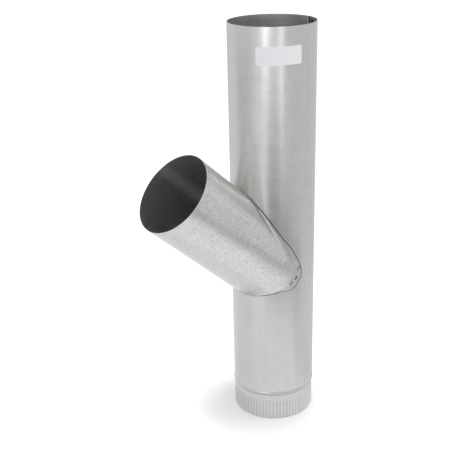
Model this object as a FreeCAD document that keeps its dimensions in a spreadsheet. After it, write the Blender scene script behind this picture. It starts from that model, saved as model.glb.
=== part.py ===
import FreeCAD, Part
import math
import os
from FreeCAD import Vector

# A duct Y branch in galvanised sheet: a rolled main pipe with a crimped lower end,
# a rolled branch pipe lapped and spot welded on its side, and a paper label.
# Millimetres. The origin is the centre of the crimped end, +Z runs up the main pipe
# and the branch leans out towards -X.

doc = FreeCAD.newDocument("duct_y_branch")
sheet = doc.addObject("Spreadsheet::Sheet", "Sizes")

sizes = [
    ("duct_bore", 127.0, "inside diameter of the main pipe, a 5 in duct"),
    ("gauge", 0.55, "sheet thickness, 26 gauge galvanised"),
    ("overall", 620.0, "length of the main pipe"),
    ("branch_under", 3.2, "how much the branch's outside diameter is under the main's bore"),
    ("branch_tilt", 47.6, "angle between the two pipes' axes"),
    ("cross_level", 240.1, "height at which the axes cross"),
    ("branch_reach", 240.5, "length from that crossing to the mouth"),
    ("seam_width", 7.0, "width of the lock seams"),
    ("seam_gap", 0.08, "gap between the folded layers of a seam"),
    ("seam_tuck", 1.2, "how far a folded edge stops short of the fold it lies in"),
    ("seam_slope", 2.0, "length over which the sheet steps down beside a seam"),
    ("main_seam_turn", -8.0, "where the main seam lies, from +X"),
    ("branch_seam_turn", 40.0, "where the branch seam lies, from its top line"),
    ("runout", 9.0, "length over which a seam is pressed flat towards a plain end"),
    ("plain_low", 52.0, "height under which the main pipe has no seam"),
    ("plain_mouth", 30.0, "length of the branch's mouth that has no seam"),
    ("bead_level", 46.3, "height of the bead's crown"),
    ("bead_half", 2.6, "half the bead's height"),
    ("bead_crown", 1.6, "height of the flat on the bead's crown"),
    ("bead_proud", 0.7, "how far the bead stands out of the pipe"),
    ("spigot_slack", 0.2, "clearance all round when the crimped end is in a duct"),
    ("flutes", 72.0, "number of crimp flutes"),
    ("flute_chord", 3.4, "width of one flute's valley"),
    ("flute_depth", 0.65, "depth of one flute's valley"),
    ("flute_length", 29.0, "full depth part of a flute"),
    ("flute_fade", 5.0, "part over which a flute fades out"),
    ("lap_gap", 0.05, "clearance between the lap and the main pipe"),
    ("lap_above", 8.0, "greatest width of the lap above the branch"),
    ("lap_below", 3.2, "greatest width of the lap below the branch"),
    ("lap_wrap", 93.5, "how far round the main the lap's ears reach"),
    ("lap_ear_rise", 13.0, "height of the ears' tips over the crossing"),
    ("weld_size", 3.2, "width of a spot weld's dent"),
    ("weld_sink", 0.18, "depth of a spot weld's dent"),
    ("stake_drop", 5.2, "distance of the seam stakes below the rim"),
    ("stake_sink", 0.3, "depth of a seam stake's dent"),
    ("label_long", 66.7, "length of the paper label round the pipe"),
    ("label_tall", 25.4, "height of the paper label"),
    ("paper", 0.1, "thickness of the paper"),
    ("paper_gap", 0.02, "glue between the paper and the pipe"),
    ("label_corner", 2.0, "corner radius of the label"),
    ("label_drop", 39.0, "distance of the label's middle below the rim"),
    ("label_turn", 240.4, "where the label's middle lies, from +X"),
    ("label_lean", 0.4, "how far the label was stuck on askew"),
]
for row, (name, value, note) in enumerate(sizes, start=1):
    sheet.set("A%d" % row, name)
    sheet.set("B%d" % row, str(value))
    sheet.set("C%d" % row, note)
    sheet.setAlias("B%d" % row, name)
doc.recompute()


def size(name):
    return float(sheet.get(name))


def bind(thing, **cells):
    # bind each property to an expression on the sheet
    for prop, expression in cells.items():
        thing.setExpression(prop.replace("__", "."), expression)
    return thing


def shape_feature(name, shape):
    made = doc.addObject("Part::Feature", name)
    made.Shape = shape
    return made


def boolean(kind, name, base, tool):
    made = doc.addObject("Part::" + kind, name)
    made.Base = base
    made.Tool = tool
    return made


def fuse_all(name, parts):
    made = doc.addObject("Part::MultiFuse", name)
    made.Shapes = parts
    return made


def polar(radius, degrees, level=0.0):
    turn = math.radians(degrees)
    return Vector(radius * math.cos(turn), radius * math.sin(turn), level)


gauge = size("gauge")
main_in = size("duct_bore") / 2
main_out = main_in + gauge
branch_out = (size("duct_bore") - size("branch_under")) / 2
branch_in = branch_out - gauge
tilt = math.radians(size("branch_tilt"))
cross = Vector(0, 0, size("cross_level"))
branch_way = Vector(-math.sin(tilt), 0, math.cos(tilt))


def lock_seam_section(bore):
    # Cross-section of a pipe rolled from one sheet and closed by a grooved lock seam.
    # Layer 0 is the pipe's wall and layers 1 to 3 stack up outside it.
    step = gauge + size("seam_gap")
    half = math.degrees(size("seam_width") / 2 / bore)
    tuck = math.degrees(size("seam_tuck") / bore)
    slope = math.degrees(size("seam_slope") / bore)
    fold_room = math.degrees(1.6 * gauge / bore)
    # where the sheet bends down, its inner face bends a little before its outer one
    bend = math.atan2(3 * step, size("seam_slope"))
    early = math.degrees(gauge * math.tan(bend / 2) / bore)

    def followed(inner_face):
        # one face of the sheet, from one of its edges to the other
        def face_of(layer):
            # layers 1 and 2 lie upside down
            turned_over = layer in (1, 2)
            return bore + layer * step + (gauge if turned_over == inner_face else 0)

        def along(layer, start, end):
            radius = face_of(layer)
            middle = polar(radius, (start + end) / 2)
            return Part.Arc(polar(radius, start), middle, polar(radius, end)).toShape()

        def fold(low, high, at, side):
            middle = (face_of(low) + face_of(high)) / 2
            bulge = math.degrees((face_of(high) - face_of(low)) / 2 / middle)
            crown = polar(middle, at + side * bulge)
            return Part.Arc(polar(face_of(low), at), crown, polar(face_of(high), at)).toShape()

        down = half + fold_room - (early if inner_face else 0)
        landed = down + slope
        return [
            along(1, half - tuck, -half),
            fold(1, 3, -half, -1),
            along(3, -half, down),
            Part.LineSegment(polar(face_of(3), down), polar(face_of(0), landed)).toShape(),
            along(0, landed, 120),
            along(0, 120, 240),
            along(0, 240, 360 - half),
            along(0, -half, half),
            fold(0, 2, half, 1),
            along(2, half, tuck - half),
        ]

    def sheet_edge(layer, at):
        low = bore + layer * step
        return Part.LineSegment(polar(low, at), polar(low + gauge, at)).toShape()

    ends = [sheet_edge(1, half - tuck), sheet_edge(2, tuck - half)]
    edges = Part.sortEdges(followed(False) + followed(True) + ends)[0]
    return Part.Face(Part.Wire(edges))


# Upper wall of the main pipe, its lock seam standing outside and flush inside

main_section = shape_feature("Main_section", lock_seam_section(main_in))
main_section.Placement.Rotation = FreeCAD.Rotation(Vector(0, 0, 1), size("main_seam_turn"))
bind(main_section, Placement__Base__z="Sizes.plain_low")

main_sheet = doc.addObject("Part::Extrusion", "Main_sheet")
main_sheet.Base = main_section
main_sheet.DirMode = "Custom"
main_sheet.Dir = Vector(0, 0, 1)
main_sheet.Solid = True
bind(main_sheet, LengthFwd="Sizes.overall - Sizes.plain_low")


def seam_press(name, inside, bottom):
    # ring that presses a seam flat over the run-out, as what stands out of its cone is cut off
    block = doc.addObject("Part::Cylinder", name + "_block")
    bind(block, Radius=inside + " + 6 * Sizes.gauge", Height="Sizes.runout")
    cone = doc.addObject("Part::Cone", name + "_cone")
    low = inside + " + Sizes.gauge"
    high = inside + " + 4 * Sizes.gauge + 4 * Sizes.seam_gap"
    radii = (low, high) if bottom else (high, low)
    bind(cone, Radius1=radii[0], Radius2=radii[1], Height="Sizes.runout")
    return boolean("Cut", name, block, cone)


main_press = seam_press("Main_press", "Sizes.duct_bore / 2", True)
bind(main_press, Placement__Base__z="Sizes.plain_low")
main_wall = boolean("Cut", "Main_wall", main_sheet, main_press)

# Lower end of the main pipe: the run-out's plain wall, the bead, and below it the slimmer
# spigot that is crimped

spigot_out = main_in - size("spigot_slack")
bead_level = size("bead_level")
plain_top = size("plain_low") + size("runout")


def turned_form(name, inset):
    # solid of revolution under the sheet's outer face, or under its inner one
    half = size("bead_half")
    flat = size("bead_crown") / 2
    proud = size("bead_proud")
    drop = main_out - spigot_out + proud
    # the sheet keeps its thickness round the bead, so its slopes draw in by half the bend
    low_bend = inset * math.tan(math.atan2(drop, half - flat) / 2)
    high_bend = inset * math.tan(math.atan2(proud, half - flat) / 2)
    corners = [
        (0, 0),
        (spigot_out - inset, 0),
        (spigot_out - inset, bead_level - half + low_bend),
        (main_out + proud - inset, bead_level - flat + low_bend),
        (main_out + proud - inset, bead_level + flat - high_bend),
        (main_out - inset, bead_level + half - high_bend),
        (main_out - inset, plain_top),
        (0, plain_top),
        (0, 0),
    ]
    outline = Part.makePolygon([Vector(across, 0, level) for across, level in corners])
    profile = shape_feature(name + "_profile", Part.Face(outline))
    form = doc.addObject("Part::Revolution", name)
    form.Source = profile
    form.Axis = Vector(0, 0, 1)
    form.Base = Vector(0, 0, 0)
    form.Angle = 360
    form.Solid = True
    return form


def flute_tools(name, inset):
    # one V-shaped crimping blade for each flute: straight, then fading out upwards
    depth = size("flute_depth")
    lean = math.atan2(size("flute_chord") / 2, depth)
    count = int(size("flutes"))
    long = size("flute_length")
    past = 0.1
    tail = size("flute_fade") * (1 + past / depth)

    def blade_section(cut, level):
        tip = spigot_out - cut - inset / math.sin(lean)
        back = spigot_out + 0.5
        half = (back - tip) * math.tan(lean)
        corners = [Vector(tip, 0, level), Vector(back, -half, level), Vector(back, half, level)]
        return Part.makePolygon(corners + corners[:1])

    stations = [(depth, -1), (depth, long), (-past, long + tail)]
    blade = Part.makeLoft([blade_section(cut, level) for cut, level in stations], True, True)
    # neighbouring blades are kept apart by a slot narrower than the pitch
    wide = 0.9 * 2 * math.pi * (spigot_out - gauge) / count
    slot = Part.makeBox(4, wide, long + tail + 1, Vector(spigot_out - 3, -wide / 2, -1))
    blade = blade.common(slot)
    blades = []
    for index in range(count):
        turned = blade.copy()
        turned.rotate(Vector(0, 0, 0), Vector(0, 0, 1), (index + 0.5) * 360 / count)
        blades.append(turned)
    return shape_feature(name, Part.makeCompound(blades))


spigot_solid = turned_form("Spigot_outer_form", 0.0)
spigot_hollow = turned_form("Spigot_inner_form", gauge)
crimped_solid = boolean("Cut", "Crimped_outside", spigot_solid, flute_tools("Crimp_blades", 0.0))
crimped_hollow = boolean("Cut", "Crimped_inside", spigot_hollow, flute_tools("Crimp_anvil", gauge))
spigot = boolean("Cut", "Crimped_spigot", crimped_solid, crimped_hollow)
main_blank = fuse_all("Main_blank", [main_wall, spigot])

# The opening under the branch, as wide as the branch's own bore

branch_round = "(Sizes.duct_bore - Sizes.branch_under) / 2"
branch_bore = branch_round + " - Sizes.gauge"
branch_opening = doc.addObject("Part::Cylinder", "Branch_opening")
branch_opening.Placement.Rotation = FreeCAD.Rotation(Vector(0, 1, 0), -size("branch_tilt"))
bind(
    branch_opening,
    Radius=branch_bore,
    Height="Sizes.branch_reach",
    Placement__Base__z="Sizes.cross_level",
)

# Two stakes punched into the seam from inside, just under the rim

stake_ball = size("weld_size") ** 2 / (8 * size("stake_sink")) + size("stake_sink") / 2
stakes = []
for turn in (-3.0, -6.5):
    at = polar(main_in + size("stake_sink") - stake_ball, size("main_seam_turn") + turn)
    level = size("overall") - size("stake_drop")
    stakes.append(Part.makeSphere(stake_ball, at + Vector(0, 0, level)))
seam_stakes = shape_feature("Seam_stakes", Part.makeCompound(stakes))

main_holes = doc.addObject("Part::Compound", "Main_cuts")
main_holes.Links = [branch_opening, seam_stakes]
main_pipe = boolean("Cut", "main_pipe", main_blank, main_holes)

# Branch pipe: the same lock seam, cut to the round of the main pipe

branch_section = shape_feature("Branch_section", lock_seam_section(branch_in))
seam_turned = FreeCAD.Rotation(Vector(0, 0, 1), size("branch_seam_turn"))
branch_turned = FreeCAD.Rotation(Vector(0, 1, 0), -size("branch_tilt"))
branch_section.Placement.Rotation = branch_turned.multiply(seam_turned)
bind(branch_section, Placement__Base__z="Sizes.cross_level")

branch_sheet = doc.addObject("Part::Extrusion", "Branch_sheet")
branch_sheet.Base = branch_section
branch_sheet.DirMode = "Custom"
branch_sheet.Dir = branch_way
branch_sheet.Solid = True
bind(branch_sheet, LengthFwd="Sizes.branch_reach - Sizes.plain_mouth")


def along_branch(thing, distance):
    # stand a feature on the branch's axis, at a distance from the crossing
    thing.Placement.Rotation = branch_turned
    along_x = "-sin(Sizes.branch_tilt) * (%s)" % distance
    along_z = "Sizes.cross_level + cos(Sizes.branch_tilt) * (%s)" % distance
    return bind(thing, Placement__Base__x=along_x, Placement__Base__z=along_z)


branch_press = seam_press("Branch_press", branch_bore, False)
along_branch(branch_press, "Sizes.branch_reach - Sizes.plain_mouth - Sizes.runout")
branch_pressed = boolean("Cut", "Branch_pressed", branch_sheet, branch_press)

mouth_long = "Sizes.plain_mouth + Sizes.runout"
mouth_outside = doc.addObject("Part::Cylinder", "Mouth_outside")
bind(mouth_outside, Radius=branch_round, Height=mouth_long)
mouth_inside = doc.addObject("Part::Cylinder", "Mouth_inside")
bind(mouth_inside, Radius=branch_bore, Height=mouth_long)
mouth = boolean("Cut", "Mouth", mouth_outside, mouth_inside)
along_branch(mouth, "Sizes.branch_reach - Sizes.plain_mouth - Sizes.runout")

main_room = doc.addObject("Part::Cylinder", "Main_room")
bind(
    main_room,
    Radius="Sizes.duct_bore / 2 + Sizes.gauge + Sizes.lap_gap",
    Height="Sizes.overall",
)
branch_wall = boolean("Cut", "Branch_wall", branch_pressed, main_room)

# The lap: the branch's edge turned out to lie on the main pipe. It has no width at the
# top and bottom of the joint and grows to an ear on each side, where it is welded.

lap_in = main_out + size("lap_gap")
lap_out = lap_in + gauge


def lap_level(around, width, side):
    # height of the lap's edge at an angle round the main from the branch's side
    turn = math.radians(around)
    reach = branch_out + width * math.sin(turn) ** 2
    rise = side * math.sqrt(reach**2 - (lap_in * math.sin(turn)) ** 2)
    return cross.z + (lap_in * math.cos(turn) * math.cos(tilt) + rise) / math.sin(tilt)


def lap_outline(radius):
    # closed smooth curve on a cylinder of this radius, round one ear and then the other
    stops = [80.0 * part / 5 for part in range(6)]
    upper = [(stop, lap_level(stop, size("lap_above"), 1)) for stop in stops]
    lower = [(stop, lap_level(stop, size("lap_below"), -1)) for stop in stops]
    ear = [(size("lap_wrap"), cross.z + size("lap_ear_rise"))]
    near = upper + ear + lower[::-1]
    far = [(-stop, level) for stop, level in near[::-1]][1:-1]
    points = [polar(radius, 180 + stop, level) for stop, level in near + far]
    knots = [index / len(points) for index in range(len(points) + 1)]
    curve = Part.BSplineCurve()
    curve.interpolate(Points=points, PeriodicFlag=True, Parameters=knots)
    return curve.toShape()


def quarter_rings(inner, outer, foot, height):
    # a plain ring in quarters, so that no face of it closes on itself
    hollow = Part.makeCylinder(inner, height, Vector(0, 0, foot))
    quarters = []
    for index in range(4):
        quarter = Part.makeCylinder(outer, height, Vector(0, 0, foot), Vector(0, 0, 1), 90)
        quarter = quarter.cut(hollow)
        quarter.rotate(Vector(0, 0, 0), Vector(0, 0, 1), 45 + 90 * index)
        quarters.append(quarter)
    return quarters[0].multiFuse(quarters[1:])


ring = quarter_rings(lap_in, lap_out, size("plain_low"), size("overall") - 2 * size("plain_low"))
edge_wall = Part.makeRuledSurface(lap_outline(lap_in - 3), lap_outline(lap_out + 3))
pieces = ring.generalFuse([edge_wall])[0].Solids
lap_blank = shape_feature("Lap_blank", min(pieces, key=lambda piece: piece.BoundBox.ZLength))
lap = boolean("Cut", "Lap", lap_blank, branch_opening)
branch_blank = fuse_all("Branch_blank", [branch_wall, mouth, lap])

# Spot weld dents, at (angle round the main, height over the crossing), alike on both ears

weld_places = [(89.0, 22.0), (84.4, 6.0), (76.8, -1.0)]
weld_ball = size("weld_size") ** 2 / (8 * size("weld_sink")) + size("weld_sink") / 2
dents = []
for around, over in weld_places:
    for side in (1, -1):
        centre = polar(lap_out - size("weld_sink") + weld_ball, 180 + side * around, cross.z + over)
        dents.append(Part.makeSphere(weld_ball, centre))
weld_dents = shape_feature("Weld_dents", Part.makeCompound(dents))
branch_pipe = boolean("Cut", "branch_pipe", branch_blank, weld_dents)

# Paper label near the top, wrapped on the pipe

label_body = doc.addObject("PartDesign::Body", "Label_blank")
front_plane = [plane for plane in label_body.Origin.OriginFeatures if plane.Role == "YZ_Plane"][0]
outline = label_body.newObject("Sketcher::SketchObject", "Label_outline")
outline.AttachmentSupport = [(front_plane, "")]
outline.MapMode = "FlatFace"

# the outline is drawn flat; its width is the label's chord, so that the arc has full length
half_arc = size("label_long") / 2 / main_out
half_wide = main_out * math.sin(half_arc)
half_tall = size("label_tall") / 2
corner = size("label_corner")
straight_sides = [
    ((-half_wide + corner, -half_tall), (half_wide - corner, -half_tall)),
    ((half_wide, -half_tall + corner), (half_wide, half_tall - corner)),
    ((half_wide - corner, half_tall), (-half_wide + corner, half_tall)),
    ((-half_wide, half_tall - corner), (-half_wide, -half_tall + corner)),
]
corner_spots = [
    (half_wide - corner, -half_tall + corner, -90),
    (half_wide - corner, half_tall - corner, 0),
    (-half_wide + corner, half_tall - corner, 90),
    (-half_wide + corner, -half_tall + corner, 180),
]
for (x1, y1), (x2, y2) in straight_sides:
    outline.addGeometry(Part.LineSegment(Vector(x1, y1, 0), Vector(x2, y2, 0)))
for x, y, start in corner_spots:
    circle = Part.Circle(Vector(x, y, 0), Vector(0, 0, 1), corner)
    outline.addGeometry(Part.ArcOfCircle(circle, math.radians(start), math.radians(start + 90)))
label_pad = label_body.newObject("PartDesign::Pad", "Label_pad")
label_pad.Profile = outline
bind(label_pad, Length="Sizes.duct_bore")
label_body.Placement.Rotation = FreeCAD.Rotation(Vector(0, 0, 1), size("label_turn")).multiply(
    FreeCAD.Rotation(Vector(1, 0, 0), size("label_lean"))
)
bind(label_body, Placement__Base__z="Sizes.overall - Sizes.label_drop")

label_outside = doc.addObject("Part::Cylinder", "Label_outside")
bind(
    label_outside,
    Radius="Sizes.duct_bore / 2 + Sizes.gauge + Sizes.paper_gap + Sizes.paper",
    Height="Sizes.overall",
)
label_inside = doc.addObject("Part::Cylinder", "Label_inside")
bind(
    label_inside,
    Radius="Sizes.duct_bore / 2 + Sizes.gauge + Sizes.paper_gap",
    Height="Sizes.overall",
)
label_ring = boolean("Cut", "Label_ring", label_outside, label_inside)
paper_label = boolean("Common", "paper_label", label_ring, label_body)

doc.recompute()

# Check the whole document, then write one file for each piece

for thing in doc.Objects:
    if "Invalid" in thing.State or "Error" in thing.State:
        raise RuntimeError("%s is in error" % thing.Name)

os.makedirs("parts", exist_ok=True)
for piece in (main_pipe, branch_pipe, paper_label):
    made = piece.Shape
    if made.isNull() or not made.isValid():
        raise RuntimeError("%s has no valid shape" % piece.Label)
    made.exportStep("parts/%s.step" % piece.Label)
    box = made.BoundBox
    print("%s: %d solid, %d faces" % (piece.Label, len(made.Solids), len(made.Faces)))
    print("  lowest %.1f, highest %.1f" % (box.ZMin, box.ZMax))
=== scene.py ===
# %% [markdown]
# # A duct Y branch in galvanised sheet
# The real object is two pipes rolled from zinc-coated steel sheet. The main pipe has a
# crimped lower end that slides into the next duct. The branch pipe leans out of its side
# and is lapped and spot welded on it. A small paper label sits near the top. The packed
# CAD model is loaded first, because it fixes every size and place. What this scene adds is
# finish, light and the finer forms that a CAD solid leaves out.

# %% Load the fixed frame
import math

import bmesh
import bpy
from mathutils import Matrix, Vector


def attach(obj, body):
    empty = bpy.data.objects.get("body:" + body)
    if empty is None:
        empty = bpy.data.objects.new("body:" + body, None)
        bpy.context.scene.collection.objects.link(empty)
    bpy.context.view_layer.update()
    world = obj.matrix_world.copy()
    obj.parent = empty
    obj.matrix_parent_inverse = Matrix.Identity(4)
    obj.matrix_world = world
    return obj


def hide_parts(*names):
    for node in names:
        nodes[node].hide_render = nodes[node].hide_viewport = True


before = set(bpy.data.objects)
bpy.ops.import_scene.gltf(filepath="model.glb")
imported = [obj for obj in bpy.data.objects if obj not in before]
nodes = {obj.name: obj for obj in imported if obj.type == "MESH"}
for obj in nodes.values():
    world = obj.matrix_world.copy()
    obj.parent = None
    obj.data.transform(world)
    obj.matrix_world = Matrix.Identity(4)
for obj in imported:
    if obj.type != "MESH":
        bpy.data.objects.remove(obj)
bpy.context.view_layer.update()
print("CAD nodes:", sorted(nodes))

# %% [markdown]
# Shader maths reads best as plain arithmetic. A `Wire` holds one socket and answers to
# `+`, `-`, `*` and `/` by adding a Math node. A `NodeKit` adds any other node from its
# type, its settings and the values or wires of its sockets.

# %% Wires and nodes
class Wire:
    """One output socket that can be used in arithmetic."""

    def __init__(self, kit, socket):
        self.kit = kit
        self.socket = socket

    def __add__(self, other):
        return self.kit.maths("ADD", self, other)

    def __sub__(self, other):
        return self.kit.maths("SUBTRACT", self, other)

    def __rsub__(self, other):
        return self.kit.maths("SUBTRACT", other, self)

    def __mul__(self, other):
        return self.kit.maths("MULTIPLY", self, other)

    def __truediv__(self, other):
        return self.kit.maths("DIVIDE", self, other)

    __radd__ = __add__
    __rmul__ = __mul__


class NodeKit:
    """Adds nodes to one tree, each in one call."""

    def __init__(self, tree):
        self.tree = tree
        tree.nodes.clear()

    def node(self, kind, settings=None, inputs=None, out=0):
        made = self.tree.nodes.new("ShaderNode" + kind)
        for name, value in (settings or {}).items():
            if name == "stops":
                self.stops(made.color_ramp, value)
            else:
                setattr(made, name, value)
        for key, value in (inputs or {}).items():
            self.feed(made.inputs[key], value)
        return Wire(self, made.outputs[out])

    def feed(self, socket, value):
        if isinstance(value, Wire):
            self.tree.links.new(value.socket, socket)
        else:
            socket.default_value = value

    def stops(self, ramp, stops):
        while len(ramp.elements) < len(stops):
            ramp.elements.new(0.5)
        for element, (position, grey) in zip(ramp.elements, stops):
            element.position = position
            element.color = (grey, grey, grey, 1)

    def maths(self, operation, *values):
        return self.node("Math", {"operation": operation}, dict(enumerate(values)))

    def clamp01(self, value):
        return self.node("Clamp", None, {"Value": value})

    def smooth(self, value, start, end):
        # 0 below start, 1 above end, with a soft step between
        settings = {"interpolation_type": "SMOOTHSTEP"}
        return self.node("MapRange", settings, {"Value": value, "From Min": start, "From Max": end})

    def ramp(self, value, stops):
        return self.node("ValToRGB", {"stops": stops}, {"Fac": value})

    def mix_colour(self, factor, first, second, blend="MIX"):
        settings = {"data_type": "RGBA", "blend_type": blend}
        return self.node("Mix", settings, {0: factor, 6: first, 7: second}, out=2)

    def surface(self, shader):
        self.node_out = self.tree.nodes.new("ShaderNodeOutputMaterial")
        self.tree.links.new(shader.socket, self.node_out.inputs["Surface"])


print("shader helpers ready")

# %% [markdown]
# The camera stands where the photographer stood: 1.44 m from the object's axis, 0.79 m up,
# looking down by 22 degrees, with a slight roll. A lens of 65.8 mm on a 36 mm sensor gives
# the photo's frame.

# %% Camera
def studio_camera(place, turn, pitch, roll, lens):
    forward = Vector((math.cos(turn) * math.cos(pitch), math.sin(turn) * math.cos(pitch), -math.sin(pitch)))
    right = Vector((math.sin(turn), -math.cos(turn), 0))
    up = right.cross(forward)
    rolled_right = math.cos(roll) * right + math.sin(roll) * up
    rolled_up = math.cos(roll) * up - math.sin(roll) * right
    camera = bpy.data.objects.new("studio_camera", bpy.data.cameras.new("studio_camera"))
    camera.data.lens = lens
    camera.data.sensor_width = 36.0
    camera.data.clip_start = 0.01
    camera.data.clip_end = 100.0
    axes = Matrix((rolled_right, rolled_up, -forward)).transposed().to_4x4()
    camera.matrix_world = Matrix.Translation(place) @ axes
    bpy.context.scene.collection.objects.link(camera)
    bpy.context.scene.camera = camera
    return camera


camera = studio_camera((-0.7502, -0.9350, 0.7913), math.radians(54.483), math.radians(22.10), math.radians(-1.429), 65.755)
print("camera at", [round(v, 3) for v in camera.matrix_world.translation])

# %% [markdown]
# Bare metal shows its surroundings more than its own colour, so the studio matters as much
# as the finish. The room is white: the world is white to the camera and to reflections, and
# dimmer as a lamp, so that colours stay as they are written.

# %% White room
def white_room(lamp_level):
    world = bpy.data.worlds.new("white_room")
    world.use_nodes = True
    bpy.context.scene.world = world
    kit = NodeKit(world.node_tree)
    seen = [kit.node("LightPath", None, None, out=name) for name in ("Is Camera Ray", "Is Glossy Ray", "Is Transmission Ray")]
    shown = kit.clamp01(seen[0] + seen[1] + seen[2])
    strength = shown * (1 - lamp_level) + lamp_level
    light = kit.node("Background", None, {"Color": (1, 1, 1, 1), "Strength": strength})
    output = world.node_tree.nodes.new("ShaderNodeOutputWorld")
    world.node_tree.links.new(light.socket, output.inputs["Surface"])
    return world


white_room(0.82)
bpy.context.scene.view_settings.view_transform = "Standard"
print("white room ready")

# %% [markdown]
# A duct starts as a flat sheet on the bench and is rolled round. The pieces here are made
# the same way: `rolled` lays out a flat grid with bmesh, then moves each of its vertices to
# its place on the pipe, and welds the two meeting edges. The grid's lines can be set close
# where the sheet is worked, as at a crimp, and wide where it is plain.

# %% Flat grid, rolled into a form
def rolled(form, columns, rows, place, closed=True, dark_rows=()):
    """Adds a grid with a line for each entry of columns and rows, each vertex moved by place."""
    across, up = len(columns) - (0 if closed else 1), len(rows) - 1
    made = bmesh.ops.create_grid(form, x_segments=across, y_segments=up, size=1.0)["verts"]
    for vertex in made:
        i = round((vertex.co.x + 1) / 2 * across)
        j = round((vertex.co.y + 1) / 2 * up)
        vertex.co = place(columns[i % len(columns)], rows[j])
        if rows[j] in dark_rows:
            vertex[form.verts.layers.float["cut_edge"]] = 1.0
    if closed:
        bmesh.ops.remove_doubles(form, verts=made, dist=1e-4)
    return [vertex for vertex in made if vertex.is_valid]


def settle(form, name, thickness, cutter=None):
    """Gives a sheet its thickness, cuts it if asked, and returns a finished object in metres."""
    bmesh.ops.recalc_face_normals(form, faces=form.faces)
    bmesh.ops.scale(form, vec=(0.001, 0.001, 0.001), verts=form.verts)
    mesh = bpy.data.meshes.new(name)
    form.to_mesh(mesh)
    form.free()
    piece = bpy.data.objects.new(name, mesh)
    bpy.context.scene.collection.objects.link(piece)
    if thickness:
        wall = piece.modifiers.new("wall", "SOLIDIFY")
        wall.thickness = thickness / 1000
        wall.offset = 0.0
        wall.use_even_offset = True
    if cutter:
        hole = piece.modifiers.new("hole", "BOOLEAN")
        hole.operation = "DIFFERENCE"
        hole.solver = "EXACT"
        hole.object = cutter
    if thickness or cutter:
        baked = bpy.data.meshes.new_from_object(piece.evaluated_get(bpy.context.evaluated_depsgraph_get()))
        piece.modifiers.clear()
        piece.data = baked
        baked.name = name
    if cutter:
        bpy.data.objects.remove(cutter)
    piece.data.shade_smooth()
    piece.data.set_sharp_from_angle(angle=math.radians(38))
    return piece


print("rolling tools ready")

# %% [markdown]
# The floor is one large white sheet. What the camera sees of it is its lit colour plus a
# little light of its own, so that it is white where nothing shades it and still keeps the
# object's soft shadow. That own light is weaker round the foot, a little left of it and in
# front, which paints part of the shadow in. The metal sees another glow: painted light round
# the foot and painted shade on the right.

# %% Floor
def stage_sheet(name, width, height, place, facing, material):
    form = bmesh.new()
    bmesh.ops.create_grid(form, x_segments=1, y_segments=1, size=0.5)
    turn = Vector(facing).to_track_quat("Z", "Y").to_matrix().to_4x4()
    bmesh.ops.scale(form, vec=(width, height, 1), verts=form.verts)
    bmesh.ops.transform(form, matrix=Matrix.Translation(place) @ turn, verts=form.verts)
    mesh = bpy.data.meshes.new(name)
    form.to_mesh(mesh)
    form.free()
    mesh.materials.append(material)
    sheet = bpy.data.objects.new(name, mesh)
    bpy.context.scene.collection.objects.link(sheet)
    return sheet


def floor_with_painted_shadow(near, far, mirrored):
    paint = bpy.data.materials.new("floor_with_painted_shadow")
    paint.use_nodes = True
    kit = NodeKit(paint.node_tree)
    by_camera = kit.node("LightPath", None, None, out="Is Camera Ray")
    by_metal = kit.node("LightPath", None, None, out="Is Glossy Ray")
    place = kit.node("TexCoord", None, None, out="Object")
    # the floor's own glow is weaker round the foot: a painted shadow
    distance = kit.node("VectorMath", {"operation": "DISTANCE"}, {0: place, 1: (-0.034, -0.010, 0)}, out="Value")
    away = kit.smooth(distance, 0.055, 0.15)
    glow_with_painted_shade = kit.mix_colour(away, (near, near, near, 1), (far, far, far, 1))
    # what the metal sees of the floor: painted light round the foot, painted shade on the right
    painted_light_by_foot, plain, painted_shade_right = ((grey, grey, grey, 1) for grey in (mirrored + 0.12, mirrored, 0.0))
    from_foot = kit.node("VectorMath", {"operation": "LENGTH"}, {0: place}, out="Value")
    eastward = kit.node("SeparateXYZ", None, {0: place}, out=0)
    shown = kit.mix_colour(kit.smooth(from_foot, 0.08, 0.17), painted_light_by_foot, plain)
    shown = kit.mix_colour(kit.smooth(eastward, 0.03, 0.14), shown, painted_shade_right)
    glow_with_painted_shade = kit.mix_colour(by_metal, glow_with_painted_shade, shown)
    matt = kit.node("BsdfDiffuse", None, {"Color": (0.9, 0.9, 0.9, 1)})
    glow = kit.node("Emission", None, {"Color": glow_with_painted_shade, "Strength": kit.clamp01(by_camera + by_metal)})
    kit.surface(kit.node("AddShader", None, {0: matt, 1: glow}))
    return paint


floor = stage_sheet("floor", 30, 30, (0, 0, -0.0005), (0, 0, 1), floor_with_painted_shadow(0.065, 0.42, 0.22))
print("floor of 30 m, half a millimetre under the rim")

# %% [markdown]
# Two soft boxes give the long highlights on the pipes and the soft shadow on the floor.
# Grey cards stand beside them, out of the picture. Only the metal sees them, as its darker
# bands: such cards are how bare metal is photographed.

# %% Lamps and cards
def toward_camera(turn, distance, height):
    # a place around the object, its angle counted from the camera's side
    angle = math.radians(231.26 + turn)
    return Vector((distance * math.cos(angle), distance * math.sin(angle), height))


def soft_box(name, turn, distance, height, width, tall, watts, lights=True):
    lamp = bpy.data.lights.new(name, "AREA")
    lamp.shape = "RECTANGLE"
    lamp.size = width
    lamp.size_y = tall
    lamp.energy = watts
    place = toward_camera(turn, distance, height)
    box = bpy.data.objects.new(name, lamp)
    aim = Vector((0, 0, 0.3)) - place
    box.matrix_world = Matrix.Translation(place) @ aim.to_track_quat("-Z", "Y").to_matrix().to_4x4()
    box.visible_camera = False
    box.visible_diffuse = lights
    bpy.context.scene.collection.objects.link(box)
    return box


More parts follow.
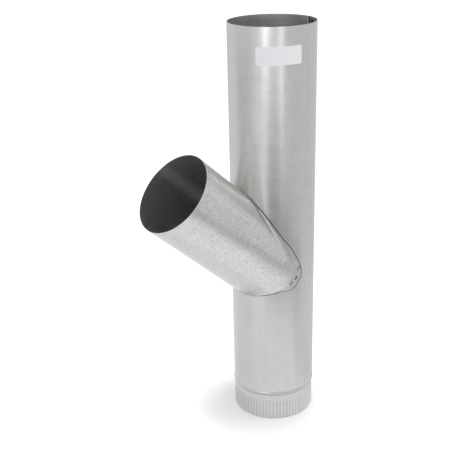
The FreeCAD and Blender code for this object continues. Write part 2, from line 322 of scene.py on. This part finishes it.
def grey_wall(name, turns, distance, levels, greys):
    """A curved card round the object, which only reflections see, sprayed from grey to grey."""
    paint = bpy.data.materials.new(name)
    paint.use_nodes = True
    kit = NodeKit(paint.node_tree)
    place = kit.node("TexCoord", None, None, out="Object")
    height = kit.node("SeparateXYZ", None, {0: place}, out=2)
    spray = kit.smooth(height, levels[0], levels[1])
    grey = kit.mix_colour(spray, (*greys[:1] * 3, 1), (*greys[1:] * 3, 1))
    kit.surface(kit.node("Emission", None, {"Color": grey, "Strength": 1.0}))
    form = bmesh.new()
    lines = [turns[0] + (turns[1] - turns[0]) * part / 12 for part in range(13)]

    def wall_place(turn, level):
        return toward_camera(turn, distance, level) * 1000

    rolled(form, lines, levels, wall_place, closed=False)
    wall = settle(form, name, 0)
    wall.data.materials.append(paint)
    wall.visible_camera = False
    wall.visible_diffuse = False
    wall.visible_shadow = False
    return wall


soft_box("soft_box_right", 95, 1.2, 1.6, 1.0, 1.0, 8)
soft_box("soft_box_above", 180, 0.10, 1.6, 2.2, 2.2, 11, lights=False)
soft_box("soft_box_left", -52, 1.4, 1.35, 0.7, 0.5, 3.0, lights=False)
soft_box("strip_box_left", -16, 1.5, 0.80, 0.32, 1.0, 3.6)
soft_box("strip_box_right", 22, 1.2, 0.65, 0.14, 1.0, 0.9)
grey_wall("grey_wall_right", (27, 152), 0.55, (0.0, 1.1), (0.82, 0.82))
grey_wall("dark_gap_front", (-15, 20), 0.50, (0.04, 0.42), (0.04, 0.75))
grey_wall("dark_gap_low", (17, 42), 0.49, (0.04, 0.26), (0.0, 0.72))
grey_wall("dark_gap_right", (42, 78), 0.53, (0.02, 0.10), (0.06, 0.30))
grey_wall("grey_wall_left", (-98, -50), 1.1, (0.13, 0.42), (0.66, 0.66))
print("three soft boxes and four grey walls")

# %% [markdown]
# The sizes are the CAD model's, in millimetres: a 5 in duct of 0.55 mm sheet, 620 mm long,
# and a branch 3.2 mm slimmer than the main pipe's bore, leaning by 47.6 degrees.

# %% Sizes of the sheet metal
gauge = 0.55
step = gauge + 0.08
main_bore = 63.5
main_outside = main_bore + gauge
branch_bore = 61.35
branch_outside = branch_bore + gauge
overall = 620.0
reach = 240.5
crossing = Vector((0, 0, 240.1))
tilt = math.radians(47.6)
branch_way = Vector((-math.sin(tilt), 0, math.cos(tilt)))
branch_top = Vector((math.cos(tilt), 0, math.sin(tilt)))


def around_main(degrees, radius, level):
    turn = math.radians(degrees)
    return Vector((radius * math.cos(turn), radius * math.sin(turn), level))


def around_branch(degrees, radius, along):
    turn = math.radians(degrees)
    across = radius * (math.cos(turn) * branch_top + math.sin(turn) * Vector((0, 1, 0)))
    return crossing + along * branch_way + across


print("branch mouth centre:", [round(v, 1) for v in crossing + reach * branch_way])

# %% [markdown]
# Each pipe is closed by a grooved lock seam: both edges of the sheet are folded back, hooked
# into each other and pressed flat. Seen from its end, the sheet is one long line that starts
# inside the seam, runs once round the pipe and ends inside the seam again. The line is given
# as pairs of an angle and a layer, where layer 0 is the wall and 1 to 3 stack up outside it.

# %% The line of a lock seam
def seam_line(bore, pitch):
    half = math.degrees(3.5 / bore)
    tuck = math.degrees(1.2 / bore)
    flat = half + math.degrees(1.6 * gauge / bore)
    landed = flat + math.degrees(2.0 / bore)
    bulge = math.degrees(step / bore)
    turns = [math.radians(45 * part) for part in (1, 2, 3)]
    hook = [(half - tuck, 1), (0, 1), (-half, 1)]
    hook += [(-half - bulge * math.sin(turn), 2 - math.cos(turn)) for turn in turns]
    hook += [(-half, 3), (0, 3), (half, 3), (flat, 3), (landed, 0)]
    count = round(360 / pitch)
    wall = [(index * pitch, 0) for index in range(count) if landed + 1 < index * pitch < 359 - half]
    catch = [(360 - half, 0), (360, 0), (360 + half, 0)]
    catch += [(360 + half + bulge * math.sin(turn), 1 - math.cos(turn)) for turn in turns]
    catch += [(360 + half, 2), (360, 2), (360 + tuck - half, 2)]
    return hook + wall + catch


print("lines across a seamed sheet:", len(seam_line(main_bore, 2.5)))

# %% [markdown]
# The main pipe's upper wall carries its seam up to the rim. At its foot the seam is pressed
# flat over 9 mm, where the crimping rolls begin. The branch's opening is cut by a Boolean
# with a cylinder as wide as the branch's bore, as a hole saw would cut it.

# %% Upper wall of the main pipe
def ease(value):
    value = min(max(value, 0.0), 1.0)
    return value * value * (3 - 2 * value)


main_seam = -8.0


def upper_wall_place(line, level):
    angle, layer = line
    pressed = ease((level - 52) / 9)
    return around_main(main_seam + angle, main_bore + gauge / 2 + layer * step * pressed, level)


def opening_cutter():
    form = bmesh.new()
    bmesh.ops.create_cone(
        form, cap_ends=True, segments=180, radius1=branch_bore, radius2=branch_bore, depth=reach
    )
    lean = Vector((0, 0, 1)).rotation_difference(branch_way).to_matrix().to_4x4()
    middle = Matrix.Translation(crossing + branch_way * reach / 2)
    bmesh.ops.transform(form, matrix=middle @ lean, verts=form.verts)
    return settle(form, "opening_cutter", 0)


wall_rows = [52, 53.5, 55, 57, 59, 61, 70, 110, 160, 210, 260, 310, 360, 410, 460, 510, 560, 600, 609, 611, 613, 615, 617, 620]
wall_form = bmesh.new()
rolled(wall_form, seam_line(main_bore, 2.5), wall_rows, upper_wall_place, closed=False)
upper_wall = settle(wall_form, "main_upper_wall", gauge, opening_cutter())
print("upper wall:", len(upper_wall.data.polygons), "faces")

# %% [markdown]
# The crimped end is worked from the same wall. A bead is rolled at 46 mm as the stop for the
# next duct, the end under it is drawn in a little, and 72 flutes are pressed into it so that
# it gathers and slides inside. Each flute is a smooth valley that fades out under the bead.

# %% Crimped end
flute_count = 72
spigot = main_bore - 0.2 - gauge / 2


def flute_depth(angle, level):
    pitch = 360 / flute_count
    off = abs((angle / pitch) % 1 - 0.5) * pitch
    narrow = math.radians(off) * spigot / 1.75
    valley = 0.5 + 0.5 * math.cos(math.pi * narrow) if narrow < 1 else 0.0
    return 0.65 * valley * (1 - ease((level - 28.5) / 6.5))


def bead_radius(level):
    wall = main_bore + gauge / 2
    rise = ease((level - 43.7) / 1.9)
    fall = ease((level - 47.0) / 1.9)
    return spigot + rise * (wall + 0.7 - spigot) - fall * 0.7


def crimp_place(angle, level):
    return around_main(angle, bead_radius(level) - flute_depth(angle, level), level)


crimp_rows = [0, 0.4, 10, 20, 28, 29, 30, 31, 32, 33, 34, 35, 38, 41, 43.5]
crimp_rows += [43.7 + 0.27 * index for index in range(20)] + [49.2, 52]
crimp_form = bmesh.new()
rolled(crimp_form, [index * 0.5 for index in range(720)], crimp_rows, crimp_place)
crimped_end = settle(crimp_form, "crimped_end", gauge)
print("crimped end:", len(crimped_end.data.polygons), "faces")

# %% [markdown]
# The branch's edge is dressed outwards with a mallet until it lies on the main pipe. That
# lap has almost no width above and below the branch, and grows to an ear on each side. The
# tube passes into it in a soft bend with no crease, so each line of the sheet follows the
# tube, then a curve of Bezier's kind, then the main pipe's round.

# %% The lap's outline, unrolled on the main pipe
lap_radius = main_outside + 0.05 + gauge / 2
branch_middle = branch_bore + gauge / 2


def lap_level(around, width, side):
    turn = math.radians(around)
    wide = branch_outside + width * math.sin(turn) ** 2
    rise = side * math.sqrt(wide**2 - ((main_outside + 0.05) * math.sin(turn)) ** 2)
    return ((main_outside + 0.05) * math.cos(turn) * math.cos(tilt) + rise) / math.sin(tilt)


def lap_outline():
    # points of the outline as seen from its middle: (turn, distance), unrolled
    stops = [16.0 * part for part in range(6)]
    near = [(stop, lap_level(stop, 8.0, 1)) for stop in stops] + [(93.5, 13.0)]
    near += [(stop, lap_level(stop, 3.2, -1)) for stop in stops[::-1]]
    far = [(-stop, level) for stop, level in near[::-1]][1:-1]
    knots = [(math.radians(stop) * lap_radius, level) for stop, level in near + far]
    seen = []
    for index in range(len(knots)):
        before, start, end, after = (Vector(knots[(index + k) % len(knots)]) for k in (-1, 0, 1, 2))
        for part in range(10):
            share = part / 10
            flow = (end - before) * share + (2 * before - 5 * start + 4 * end - after) * share**2
            flow += (3 * start - before - 3 * end + after) * share**3
            spot = start + flow / 2 - Vector((0, 31.0))
            seen.append((math.atan2(spot.x, spot.y) % math.tau, spot.length))
    return sorted(seen)


outline = lap_outline()


def outline_distance(turn):
    turn %= math.tau
    ends = outline + [(outline[0][0] + math.tau, outline[0][1])]
    for (low, near), (high, far) in zip(ends, ends[1:]):
        if low <= turn <= high:
            return near + (far - near) * (turn - low) / max(high - low, 1e-9)
    return outline[0][1]


print("the lap reaches", round(outline_distance(math.radians(99.7)), 1), "mm from the middle of the joint")

# %% Lines of the branch sheet, from the mouth to the lap's edge
def meeting(turn):
    # how far along the branch one of its lines meets the round of the main pipe
    side = branch_middle * math.sin(math.radians(turn))
    top = branch_middle * math.cos(math.radians(turn))
    return (math.sqrt(lap_radius**2 - side**2) + top * math.cos(tilt)) / math.sin(tilt)


def on_main(flat_side, level, lift):
    return around_main(180 - math.degrees(flat_side / lap_radius), lap_radius + lift, crossing.z + level)


branch_lines = {}


def branch_line(turn):
    # one line's meeting point, where its bend starts, and the ends of its lap
    if turn not in branch_lines:
        meet = meeting(turn)
        corner = around_branch(turn, branch_middle, meet)
        flat_side = math.atan2(corner.y, -corner.x) * lap_radius
        seen = Vector((flat_side, corner.z - crossing.z - 31.0))
        lap = max(outline_distance(math.atan2(seen.x, seen.y)) - seen.length, 0.25)
        unit = seen.normalized()
        start = around_branch(turn, branch_middle, meet + 0.6 + 0.75 * lap)
        branch_lines[turn] = (meet, corner, start, seen, unit, lap)
    return branch_lines[turn]


def flare_place(turn, row):
    kind, share = row
    meet, corner, start, seen, unit, lap = branch_line(turn)
    if kind == "tube":
        high = meet + 0.6 + 0.75 * lap
        return around_branch(turn, branch_middle, high + 6 * (1 - share))
    landed = 0.5 * lap
    if kind == "bend":
        spot = seen + unit * landed
        end = on_main(spot.x, spot.y + 31.0, 0)
        point = start.lerp(corner, share).lerp(corner.lerp(end, share), share)
        across = math.hypot(point.x, point.y)
        if across < lap_radius:
            point.x *= lap_radius / across
            point.y *= lap_radius / across
        return point
    cut = lap - min(1.5, 0.45 * lap)
    low, high = (cut, lap) if kind == "cut" else (landed, cut)
    spot = seen + unit * (low + (high - low) * share)
    lift = 0.3 * share**2 * ease(math.cos(math.radians(turn)) + 0.35)
    return on_main(spot.x, spot.y + 31.0, lift)


flare_rows = [("tube", 0.0), ("tube", 0.5), ("tube", 0.85)]
flare_rows += [("bend", part / 9) for part in range(10)] + [("lap", part / 3) for part in (1, 2)]
flare_rows += [("cut", 0.0), ("cut", 0.15), ("cut", 1.0)]
flare_form = bmesh.new()
flare_form.verts.layers.float.new("cut_edge")
# the last two rows carry the near-black of the cut edge and the painted shade of the gap
rolled(flare_form, [index * 2.0 for index in range(180)], flare_rows, flare_place, dark_rows=flare_rows[-2:])
flare = settle(flare_form, "branch_lap", gauge)
print("lap:", len(flare.data.polygons), "faces")

# %% [markdown]
# Above the lap the branch is a plain tube with its own lock seam on the upper, far side,
# pressed flat at both ends so that the last 30 mm of the mouth slide into the next duct.

# %% Branch tube
branch_seam = 40.0


def branch_wall_place(line, row):
    angle, layer = line
    turn = (branch_seam + angle) % 360
    meet, corner, start, seen, unit, lap = branch_line(round(turn, 4))
    low = meet + 6.6 + 0.75 * lap
    along = low + (row - 0.0) * (210.5 - low)
    pressed = ease((210.5 - along) / 9) * ease((along - low) / 9)
    return around_branch(turn, branch_middle + layer * step * pressed, along)


tube_rows = [0, 0.02, 0.04, 0.06, 0.08, 0.1, 0.25, 0.5, 0.75, 0.9, 0.92, 0.94, 0.96, 0.98, 1.0]
tube_form = bmesh.new()
rolled(tube_form, seam_line(branch_bore, 2.5), tube_rows, branch_wall_place, closed=False)
branch_tube = settle(tube_form, "branch_tube", gauge)


def mouth_place(turn, along):
    return around_branch(turn, branch_middle, along)


mouth_form = bmesh.new()
rolled(mouth_form, [index * 2.5 for index in range(144)], [210.5, 225, 238, 240.5], mouth_place)
mouth_ring = settle(mouth_form, "branch_mouth", gauge)
print("branch tube and mouth made")

# %% [markdown]
# The tips of a spot welder leave a shallow round hollow in the lap, three on each ear. Two
# stakes are punched into the main pipe's seam from inside, just under the rim. `dented`
# makes the mesh finer around each spot, on that side of the sheet alone, and presses a
# hollow of 3.2 mm into it.

# %% Dents of the welds and the stakes
dent_width = 3.2


def dented(piece, spots, sink):
    """Moves one side of a sheet by sink at each spot: a minus is towards the pipe's axis."""
    form = bmesh.new()
    form.from_mesh(piece.data)
    pressed = 0
    for spot in spots:
        across = math.hypot(spot.x, spot.y)

        def distance(vertex):
            # how far a vertex of this side lies from the spot
            same_side = abs(1000 * math.hypot(vertex.co.x, vertex.co.y) - across) < gauge / 2
            return (1000 * vertex.co - spot).length if same_side else math.inf

        edges = [edge for edge in form.edges if max(map(distance, edge.verts)) < 4.5]
        bmesh.ops.subdivide_edges(form, edges=edges, cuts=2, use_grid_fill=True)
        outward = Vector((spot.x, spot.y, 0)).normalized()
        for vertex in form.verts:
            share = distance(vertex) / (dent_width / 2)
            if share < 1:
                vertex.co += outward * sink * (1 - share**2) / 1000
                pressed += 1
    form.to_mesh(piece.data)
    form.free()
    print(piece.name, "dents:", len(spots), "made of", pressed, "vertices")


weld_spots = [(89.0, 22.0), (84.4, 6.0), (76.8, -1.0)]
ears = [
    around_main(180 + side * around, lap_radius + gauge / 2, crossing.z + above)
    for around, above in weld_spots
    for side in (1, -1)
]
dented(flare, ears, -0.18)
dented(upper_wall, [around_main(main_seam - turn, main_bore, overall - 5.2) for turn in (3.0, 6.5)], 0.3)

# %% [markdown]
# The pieces of one sheet are joined into one object, which then stands for the CAD node.

# %% One object for each pipe
def one_piece(name, parts, node):
    form = bmesh.new()
    for part in parts:
        form.from_mesh(part.data)
        bpy.data.objects.remove(part)
    mesh = bpy.data.meshes.new(name)
    form.to_mesh(mesh)
    form.free()
    piece = bpy.data.objects.new(name, mesh)
    bpy.context.scene.collection.objects.link(piece)
    mesh.set_sharp_from_angle(angle=math.radians(38))
    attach(piece, "root")
    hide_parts(node)
    return piece


main_sheet = one_piece("main_sheet", [upper_wall, crimped_end], "main_pipe")
branch_sheet = one_piece("branch_sheet", [flare, branch_tube, mouth_ring], "branch_pipe")
for piece in (main_sheet, branch_sheet):
    box = [1000 * v for corner in (piece.bound_box[0], piece.bound_box[6]) for v in corner]
    print(piece.name, "box in mm:", [round(v, 2) for v in box])

# %% [markdown]
# Hot-dip zinc sets in crystals, the spangle, each of which reflects a little more or less
# than its neighbour. The sheet mill leaves faint streaks along the roll's direction. Both
# are patterns through the solid, so they need no unwrapping: Voronoi cells for the spangle
# and stretched noise for the streaks.

# %% Galvanised sheet
class Zinc:
    """The parts of the zinc finish, each a pattern through the solid in Object coordinates."""

    def __init__(self, kit, start, way, bore):
        self.kit = kit
        self.place = kit.node("TexCoord", None, None, out="Object")
        offset = kit.node("VectorMath", {"operation": "SUBTRACT"}, {0: self.place, 1: start})
        self.offset = offset
        self.along = kit.node("VectorMath", {"operation": "DOT_PRODUCT"}, {0: offset, 1: way}, out="Value")
        foot = kit.node("VectorMath", {"operation": "SCALE"}, {0: way, "Scale": self.along})
        across = kit.node("VectorMath", {"operation": "SUBTRACT"}, {0: offset, 1: foot})
        radius = kit.node("VectorMath", {"operation": "LENGTH"}, {0: across}, out="Value")
        # the crimped end counts as outside too, though it is drawn in
        outside = kit.smooth(radius, bore + 0.0001, bore + 0.0003)
        drawn_in = 1 - kit.smooth(self.along, 0.045, 0.046)
        self.outer = kit.node("Math", {"operation": "MAXIMUM"}, {0: outside, 1: drawn_in})
        # turned and stretched, for the mill's streaks: long round the pipe, short along it
        lean = math.atan2(-way.x, way.z)
        turned = kit.node("Mapping", None, {"Vector": self.place, "Rotation": (0, lean, 0)})
        stretched = kit.node("Mapping", None, {"Vector": turned, "Scale": (14.0, 14.0, 300.0)})
        self.streak = self.noise(1.0, 3.0, stretched)
        # the three rolls leave faint bands along the pipe too
        drawn = kit.node("Mapping", None, {"Vector": turned, "Scale": (90.0, 90.0, 6.0)})
        self.band = self.noise(1.0, 2.0, drawn)
        cells = kit.node("TexVoronoi", None, {"Vector": self.place, "Scale": 420.0}, out="Color")
        self.spangle = kit.node("SeparateColor", None, {"Color": cells}, out=0)
        self.cloud = self.noise(55.0, 4.0)
        self.fine = self.noise(300.0, 2.0)
        slanted = kit.node("Mapping", None, {"Vector": self.place, "Rotation": (0.5, 0.9, 0.4), "Scale": (1.0, 1.0, 0.22)})
        self.dashes = self.noise(760.0, 1.0, slanted)

    def noise(self, scale, detail, place=None):
        inputs = {"Vector": place or self.place, "Scale": scale, "Detail": detail, "Roughness": 0.55}
        return self.kit.node("TexNoise", None, inputs) - 0.5


def galvanised(name, start, way, bore, tone, spangle, specks, chill, marks):
    steel = bpy.data.materials.new(name)
    steel.use_nodes = True
    kit = NodeKit(steel.node_tree)
    zinc = Zinc(kit, start, way, bore)
    light = tone + (zinc.spangle - 0.5) * spangle + zinc.cloud * 0.06 + zinc.streak * 0.08 + zinc.band * 0.07
    # painted shade: each pipe's inside is 6 % darker, and the branch's inside is tinted cooler by chill
    light = light * (zinc.outer * 0.06 + 0.94)
    inside_shade_cool = (1 - zinc.outer) * chill
    shades = {0: light * (1 - inside_shade_cool * 0.6), 1: light * 1.003, 2: light * (0.985 + inside_shade_cool)}
    colour = kit.node("CombineColor", None, shades)
    patches = kit.smooth(zinc.cloud, -0.14, 0.10)
    speck = kit.smooth(zinc.dashes, 0.08, 0.22) * patches * zinc.outer * specks
    colour = kit.mix_colour(speck, colour, (0.16, 0.16, 0.16, 1))
    colour = marks(kit, zinc, colour)
    rough = 0.28 + kit.smooth(zinc.cloud, -0.2, 0.2) * 0.03 + kit.smooth(zinc.streak, -0.2, 0.2) * 0.04
    height = zinc.streak * 0.5 + zinc.fine * 0.5
    bumps = kit.node("Bump", None, {"Strength": 0.045, "Distance": 0.0002, "Height": height})
    inputs = {"Base Color": colour, "Metallic": 0.89, "Roughness": rough, "Normal": bumps}
    kit.surface(kit.node("BsdfPrincipled", None, inputs))
    return steel


def main_marks(kit, zinc, colour):
    # the flute valleys are darkened as painted shade, the worked band is a little duller, and the line under the
    # bead is a painted shadow
    axes = [kit.node("SeparateXYZ", None, {0: zinc.place}, out=out) for out in (0, 1)]
    turn = kit.node("Math", {"operation": "ARCTAN2"}, {0: axes[1], 1: axes[0]})
    wave = kit.node("Math", {"operation": "SINE"}, {0: turn * flute_count})
    # painted shade in the flute valleys
    valley = kit.smooth(wave, 0.2, 1.0) * (1 - kit.smooth(zinc.along, 0.0275, 0.036))
    worked = 1 - kit.smooth(zinc.along, 0.0435, 0.0450)
    # painted shadow under the bead
    line = kit.smooth(zinc.along, 0.0416, 0.0430) * (1 - kit.smooth(zinc.along, 0.0452, 0.0460))
    crimp_shade_and_dulling = kit.clamp01(valley * 0.36 + worked * 0.02 + line * 0.42)
    colour = kit.mix_colour(crimp_shade_and_dulling * zinc.outer, colour, (0.12, 0.12, 0.12, 1))
    # inside, the shade in the seam's slot is painted as a dark line, which ends in two smudges of painted shade
    # under the rim
    off_seam = kit.node("Math", {"operation": "ABSOLUTE"}, {0: turn - math.radians(main_seam + 1.1)})
    painted_seam_shade = 1 - kit.smooth(off_seam, 0.022, 0.034)
    for below, level in ((8.5, 611.5), (4.8, 614.0)):
        spot = around_main(main_seam - below, main_bore, level) / 1000
        away = kit.node("VectorMath", {"operation": "DISTANCE"}, {0: zinc.place, 1: spot}, out="Value")
        painted_seam_shade = painted_seam_shade + (1 - kit.smooth(away + zinc.fine * 0.006, 0.0022, 0.0048))
    painted_seam_shade = kit.clamp01(painted_seam_shade) * (1 - zinc.outer) * 0.95
    return kit.mix_colour(painted_seam_shade, colour, (0.02, 0.02, 0.02, 1))


# a spot weld burns a pair of dashes: how far round, how high over the crossing, and how wide
weld_burns = [(89.0, 22.0, 2.8), (86.4, 19.6, 2.0), (84.4, 6.4, 3.0), (83.0, 4.6, 2.0)]
weld_burns += [(77.8, 0.2, 2.4), (75.2, -2.8, 2.2), (32.0, 96.0, 2.4)]


def branch_marks(kit, zinc, colour):
    # inside, the sheet is darkened as painted shade, apart from one streak of painted highlight along the branch
    sides = [kit.node("VectorMath", {"operation": "DOT_PRODUCT"}, {0: zinc.offset, 1: way}, out="Value")
             for way in (Vector((0, 1, 0)), branch_top)]
    turn = kit.node("Math", {"operation": "ARCTAN2"}, {0: sides[0], 1: sides[1]})
    off_painted_highlight = kit.node("Math", {"operation": "ABSOLUTE"}, {0: turn - math.radians(64)})
    streak = 1 - kit.smooth(off_painted_highlight + zinc.cloud * 0.05, 0.01, 0.24)
    inner = 1 - zinc.outer
    colour = kit.mix_colour(inner * (1 - streak) * 0.18, colour, (0.02, 0.02, 0.02, 1))
    # the bright streak inside is a painted highlight
    colour = kit.mix_colour(inner * streak * 0.45, colour, (0.9, 0.9, 0.9, 1))
    # the lap's cut edge and the strip beside it are painted near-black: bare steel at the cut,
    # and painted shade of the gap under the lap's edge; the spot welds are burnt dark
    edge_and_gap_shade = kit.node("Attribute", {"attribute_name": "cut_edge"}, None, out="Fac")
    colour = kit.mix_colour(edge_and_gap_shade * 0.9, colour, (0.04, 0.04, 0.04, 1))
    # both ears are welded alike, so the burns are laid out once and mirrored over the XZ plane
    axes = [kit.node("SeparateXYZ", None, {0: zinc.place}, out=out) for out in range(3)]
    near_side = 0 - kit.node("Math", {"operation": "ABSOLUTE"}, {0: axes[1]})
    folded = kit.node("CombineXYZ", None, {0: axes[0], 1: near_side, 2: axes[2]})
    for around, above, size in weld_burns:
        spot = around_main(180 + around, lap_radius + gauge / 2, crossing.z + above) / 1000
        away = kit.node("VectorMath", {"operation": "DISTANCE"}, {0: folded, 1: spot}, out="Value")
        burn = 1 - kit.smooth(away + zinc.fine * 0.003, size * 0.0004, size * 0.001)
        colour = kit.mix_colour(burn * 0.75, colour, (0.06, 0.06, 0.06, 1))
    return colour


upright = Vector((0, 0, 1))
main_finish = galvanised(
    "galvanised_main", Vector((0, 0, 0)), upright, main_bore / 1000, 0.53, 0.03, 0.10, 0.0, main_marks
)
branch_finish = galvanised(
    "galvanised_branch", crossing / 1000, branch_way, branch_bore / 1000, 0.58, 0.10, 0.60, 0.045, branch_marks
)
for piece, finish in ((main_sheet, main_finish), (branch_sheet, branch_finish)):
    piece.data.materials.clear()
    piece.data.materials.append(finish)
print("zinc finish on both pipes")

# %% Label paper
def label_paper():
    paper = bpy.data.materials.new("label_paper")
    paper.use_nodes = True
    kit = NodeKit(paper.node_tree)
    place = kit.node("TexCoord", None, None, out="Object")
    fibre = kit.node("TexNoise", None, {"Vector": place, "Scale": 900.0, "Detail": 3.0, "Roughness": 0.6})
    light = 0.68 + (fibre - 0.5) * 0.05
    colour = kit.node("CombineColor", None, {0: light * 0.985, 1: light * 0.99, 2: light * 1.02})
    bumps = kit.node("Bump", None, {"Strength": 0.2, "Distance": 0.0001, "Height": fibre})
    kit.surface(kit.node("BsdfPrincipled", None, {"Base Color": colour, "Roughness": 0.6, "Normal": bumps}))
    return paper


nodes["paper_label"].data.materials.clear()
nodes["paper_label"].data.materials.append(label_paper())
print("paper on the label")
